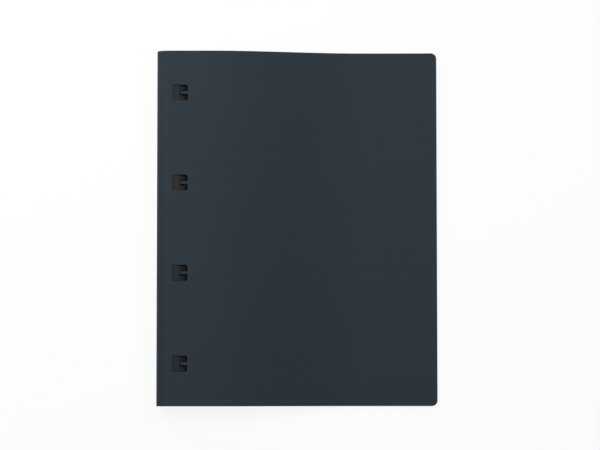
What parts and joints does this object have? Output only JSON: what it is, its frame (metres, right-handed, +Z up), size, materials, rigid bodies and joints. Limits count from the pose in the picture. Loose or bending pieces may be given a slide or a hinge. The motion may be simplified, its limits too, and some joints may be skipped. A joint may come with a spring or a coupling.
{
  "type": "strip binder",
  "caption": "Closed A4 strip binder: a folded plastic cover whose windowed panel carries gated rings, each foot hooked on the inner strip and locked by a sprung tongue.",
  "frame": {"origin": "middle of the footprint, on the resting face under the back cover", "axes": "+X from the spine to the free edge, +Y along the spine, +Z up from the resting face"},
  "size_m": [0.249, 0.315, 0.022],
  "materials": {
    "cover_sheet": "dark charcoal extruded polypropylene sheet with a fine matt emboss",
    "strip_plastic": "black polypropylene strip, smooth",
    "ring_plastic": "black moulded plastic with a satin mould finish",
    "pin_steel": "drawn steel wire, blackened"
  },
  "bodies": {
    "back_cover": {"back_cover": "cover_sheet"},
    "spine": {"spine": "cover_sheet"},
    "front_cover": {"front_cover": "cover_sheet", "binding_strip": "strip_plastic", "ring_seat_1": "ring_plastic", "ring_seat_2": "ring_plastic", "ring_seat_3": "ring_plastic", "ring_seat_4": "ring_plastic", "gate_pin_1": "pin_steel", "gate_pin_2": "pin_steel", "gate_pin_3": "pin_steel", "gate_pin_4": "pin_steel"},
    "ring_gate_1": {"ring_gate_1": "ring_plastic"},
    "ring_gate_2": {"ring_gate_2": "ring_plastic"},
    "ring_gate_3": {"ring_gate_3": "ring_plastic"},
    "ring_gate_4": {"ring_gate_4": "ring_plastic"},
    "lock_tongue_1": {"lock_tongue_1": "cover_sheet"},
    "lock_tongue_2": {"lock_tongue_2": "cover_sheet"},
    "lock_tongue_3": {"lock_tongue_3": "cover_sheet"},
    "lock_tongue_4": {"lock_tongue_4": "cover_sheet"}
  },
  "joints": [
    {"name": "back_fold", "type": "hinge", "parent": "back_cover", "child": "spine", "pos_m": [-0.124, 0, 0.0085], "axis": [0, -1, 0], "range_deg": [0, 90]},
    {"name": "front_fold", "type": "hinge", "parent": "spine", "child": "front_cover", "pos_m": [-0.124, 0, 0.0135], "axis": [0, -1, 0], "range_deg": [0, 90]},
    {"name": "gate_1", "type": "hinge", "parent": "front_cover", "child": "ring_gate_1", "pos_m": [-0.09878, 0.12, 0.01526], "axis": [0, -1, 0], "range_deg": [0, 70]},
    {"name": "gate_2", "type": "hinge", "parent": "front_cover", "child": "ring_gate_2", "pos_m": [-0.09878, 0.04, 0.01526], "axis": [0, -1, 0], "range_deg": [0, 70]},
    {"name": "gate_3", "type": "hinge", "parent": "front_cover", "child": "ring_gate_3", "pos_m": [-0.09878, -0.04, 0.01526], "axis": [0, -1, 0], "range_deg": [0, 70]},
    {"name": "gate_4", "type": "hinge", "parent": "front_cover", "child": "ring_gate_4", "pos_m": [-0.09878, -0.12, 0.01526], "axis": [0, -1, 0], "range_deg": [0, 70]},
    {"name": "tongue_1", "type": "hinge", "parent": "front_cover", "child": "lock_tongue_1", "pos_m": [-0.0963, 0.12, 0.0215], "axis": [0, -1, 0], "range_deg": [0, 20], "stiffness_Nm_per_rad": 0.01},
    {"name": "tongue_2", "type": "hinge", "parent": "front_cover", "child": "lock_tongue_2", "pos_m": [-0.0963, 0.04, 0.0215], "axis": [0, -1, 0], "range_deg": [0, 20], "stiffness_Nm_per_rad": 0.01},
    {"name": "tongue_3", "type": "hinge", "parent": "front_cover", "child": "lock_tongue_3", "pos_m": [-0.0963, -0.04, 0.0215], "axis": [0, -1, 0], "range_deg": [0, 20], "stiffness_Nm_per_rad": 0.01},
    {"name": "tongue_4", "type": "hinge", "parent": "front_cover", "child": "lock_tongue_4", "pos_m": [-0.0963, -0.12, 0.0215], "axis": [0, -1, 0], "range_deg": [0, 20], "stiffness_Nm_per_rad": 0.01}
  ]
}
